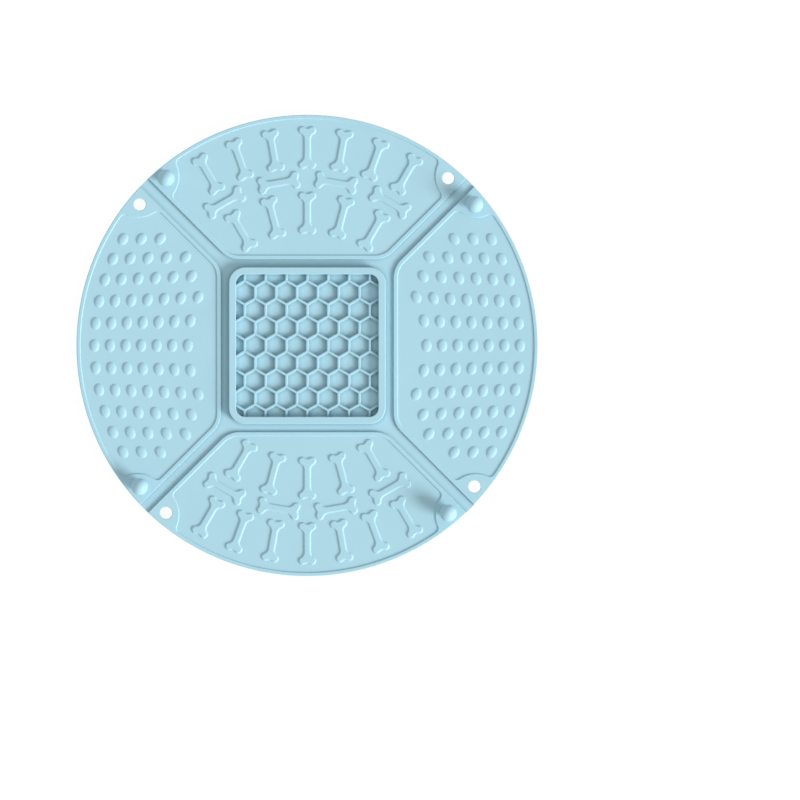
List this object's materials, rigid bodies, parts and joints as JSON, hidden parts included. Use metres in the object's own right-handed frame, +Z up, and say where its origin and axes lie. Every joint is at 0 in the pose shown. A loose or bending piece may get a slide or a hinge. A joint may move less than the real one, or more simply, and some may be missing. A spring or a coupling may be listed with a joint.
{
  "type": "lick mat",
  "caption": "Round silicone lick mat with a honeycomb tray, bone and nub walls and suction cups; folds along thin webs into a square bowl held by corner snap pegs.",
  "frame": {"origin": "under the middle of the tray, on the surface the suction cups stand on", "axes": "+Z up; +Y (north) and -Y point to the bone walls, +X and -X to the nub walls"},
  "size_m": [0.23, 0.23, 0.0183],
  "materials": {
    "mat_silicone": "soft matt moulded silicone, pale blue",
    "suction_silicone": "smooth moulded silicone, a deeper blue"
  },
  "bodies": {
    "base": {"center_tray": "mat_silicone", "honeycomb": "mat_silicone", "suction_cup_ne": "suction_silicone", "suction_cup_se": "suction_silicone", "suction_cup_sw": "suction_silicone", "suction_cup_nw": "suction_silicone", "hinge_web_north": "mat_silicone", "hinge_web_east": "mat_silicone", "hinge_web_south": "mat_silicone", "hinge_web_west": "mat_silicone"},
    "wall_north": {"wall_north": "mat_silicone", "bones_north": "mat_silicone"},
    "hole_flap_north": {"hole_flap_north": "mat_silicone"},
    "peg_flap_north": {"peg_flap_north": "mat_silicone", "snap_peg_north": "mat_silicone"},
    "corner_web_ne": {"corner_web_ne": "mat_silicone"},
    "wall_east": {"wall_east": "mat_silicone", "nubs_east": "mat_silicone"},
    "hole_flap_east": {"hole_flap_east": "mat_silicone"},
    "peg_flap_east": {"peg_flap_east": "mat_silicone", "snap_peg_east": "mat_silicone"},
    "corner_web_se": {"corner_web_se": "mat_silicone"},
    "wall_south": {"wall_south": "mat_silicone", "bones_south": "mat_silicone"},
    "hole_flap_south": {"hole_flap_south": "mat_silicone"},
    "peg_flap_south": {"peg_flap_south": "mat_silicone", "snap_peg_south": "mat_silicone"},
    "corner_web_sw": {"corner_web_sw": "mat_silicone"},
    "wall_west": {"wall_west": "mat_silicone", "nubs_west": "mat_silicone"},
    "hole_flap_west": {"hole_flap_west": "mat_silicone"},
    "peg_flap_west": {"peg_flap_west": "mat_silicone", "snap_peg_west": "mat_silicone"},
    "corner_web_nw": {"corner_web_nw": "mat_silicone"}
  },
  "joints": [
    {"name": "fold_north", "type": "hinge", "parent": "base", "child": "wall_north", "pos_m": [0, 0.041, 0.0063], "axis": [1, 0, 0], "range_deg": [0, 52], "deforming": ["hinge_web_north"]},
    {"name": "crease_hole_north", "type": "hinge", "parent": "wall_north", "child": "hole_flap_north", "pos_m": [0.05557, 0.07, 0.005], "axis": [0.5243, 0.8516, 0], "range_deg": [0, 56.14]},
    {"name": "crease_peg_north", "type": "hinge", "parent": "wall_north", "child": "peg_flap_north", "pos_m": [-0.05557, 0.07, 0.005], "axis": [0.5243, -0.8516, 0], "range_deg": [0, 56.14], "deforming": ["snap_peg_north"]},
    {"name": "groove_ne", "type": "hinge", "parent": "hole_flap_north", "child": "corner_web_ne", "pos_m": [0, 0, 0.00805], "axis": [-0.7071, -0.7071, 0], "range_deg": [0, 179.8], "deforming": ["corner_web_ne"]},
    {"name": "fold_east", "type": "hinge", "parent": "base", "child": "wall_east", "pos_m": [0.041, 0, 0.0063], "axis": [0, -1, 0], "range_deg": [0, 52], "deforming": ["hinge_web_east"]},
    {"name": "crease_hole_east", "type": "hinge", "parent": "wall_east", "child": "hole_flap_east", "pos_m": [0.07, -0.05557, 0.005], "axis": [0.8516, -0.5243, 0], "range_deg": [0, 56.14]},
    {"name": "crease_peg_east", "type": "hinge", "parent": "wall_east", "child": "peg_flap_east", "pos_m": [0.07, 0.05557, 0.005], "axis": [-0.8516, -0.5243, 0], "range_deg": [0, 56.14], "deforming": ["snap_peg_east"]},
    {"name": "groove_se", "type": "hinge", "parent": "hole_flap_east", "child": "corner_web_se", "pos_m": [0, 0, 0.00805], "axis": [-0.7071, 0.7071, 0], "range_deg": [0, 179.8], "deforming": ["corner_web_se"]},
    {"name": "fold_south", "type": "hinge", "parent": "base", "child": "wall_south", "pos_m": [0, -0.041, 0.0063], "axis": [-1, 0, 0], "range_deg": [0, 52], "deforming": ["hinge_web_south"]},
    {"name": "crease_hole_south", "type": "hinge", "parent": "wall_south", "child": "hole_flap_south", "pos_m": [-0.05557, -0.07, 0.005], "axis": [-0.5243, -0.8516, 0], "range_deg": [0, 56.14]},
    {"name": "crease_peg_south", "type": "hinge", "parent": "wall_south", "child": "peg_flap_south", "pos_m": [0.05557, -0.07, 0.005], "axis": [-0.5243, 0.8516, 0], "range_deg": [0, 56.14], "deforming": ["snap_peg_south"]},
    {"name": "groove_sw", "type": "hinge", "parent": "hole_flap_south", "child": "corner_web_sw", "pos_m": [0, 0, 0.00805], "axis": [0.7071, 0.7071, 0], "range_deg": [0, 179.8], "deforming": ["corner_web_sw"]},
    {"name": "fold_west", "type": "hinge", "parent": "base", "child": "wall_west", "pos_m": [-0.041, 0, 0.0063], "axis": [0, 1, 0], "range_deg": [0, 52], "deforming": ["hinge_web_west"]},
    {"name": "crease_hole_west", "type": "hinge", "parent": "wall_west", "child": "hole_flap_west", "pos_m": [-0.07, 0.05557, 0.005], "axis": [-0.8516, 0.5243, 0], "range_deg": [0, 56.14]},
    {"name": "crease_peg_west", "type": "hinge", "parent": "wall_west", "child": "peg_flap_west", "pos_m": [-0.07, -0.05557, 0.005], "axis": [0.8516, 0.5243, 0], "range_deg": [0, 56.14], "deforming": ["snap_peg_west"]},
    {"name": "groove_nw", "type": "hinge", "parent": "hole_flap_west", "child": "corner_web_nw", "pos_m": [0, 0, 0.00805], "axis": [0.7071, -0.7071, 0], "range_deg": [0, 179.8], "deforming": ["corner_web_nw"]}
  ],
  "couplings": [
    {"joint": "crease_hole_north", "follows": "fold_north", "ratio": 1.0796},
    {"joint": "crease_peg_north", "follows": "fold_north", "ratio": 1.0796},
    {"joint": "groove_ne", "follows": "fold_north", "ratio": 3.4577},
    {"joint": "fold_east", "follows": "fold_north", "ratio": 1},
    {"joint": "crease_hole_east", "follows": "fold_north", "ratio": 1.0796},
    {"joint": "crease_peg_east", "follows": "fold_north", "ratio": 1.0796},
    {"joint": "groove_se", "follows": "fold_north", "ratio": 3.4577},
    {"joint": "fold_south", "follows": "fold_north", "ratio": 1},
    {"joint": "crease_hole_south", "follows": "fold_north", "ratio": 1.0796},
    {"joint": "crease_peg_south", "follows": "fold_north", "ratio": 1.0796},
    {"joint": "groove_sw", "follows": "fold_north", "ratio": 3.4577},
    {"joint": "fold_west", "follows": "fold_north", "ratio": 1},
    {"joint": "crease_hole_west", "follows": "fold_north", "ratio": 1.0796},
    {"joint": "crease_peg_west", "follows": "fold_north", "ratio": 1.0796},
    {"joint": "groove_nw", "follows": "fold_north", "ratio": 3.4577}
  ]
}
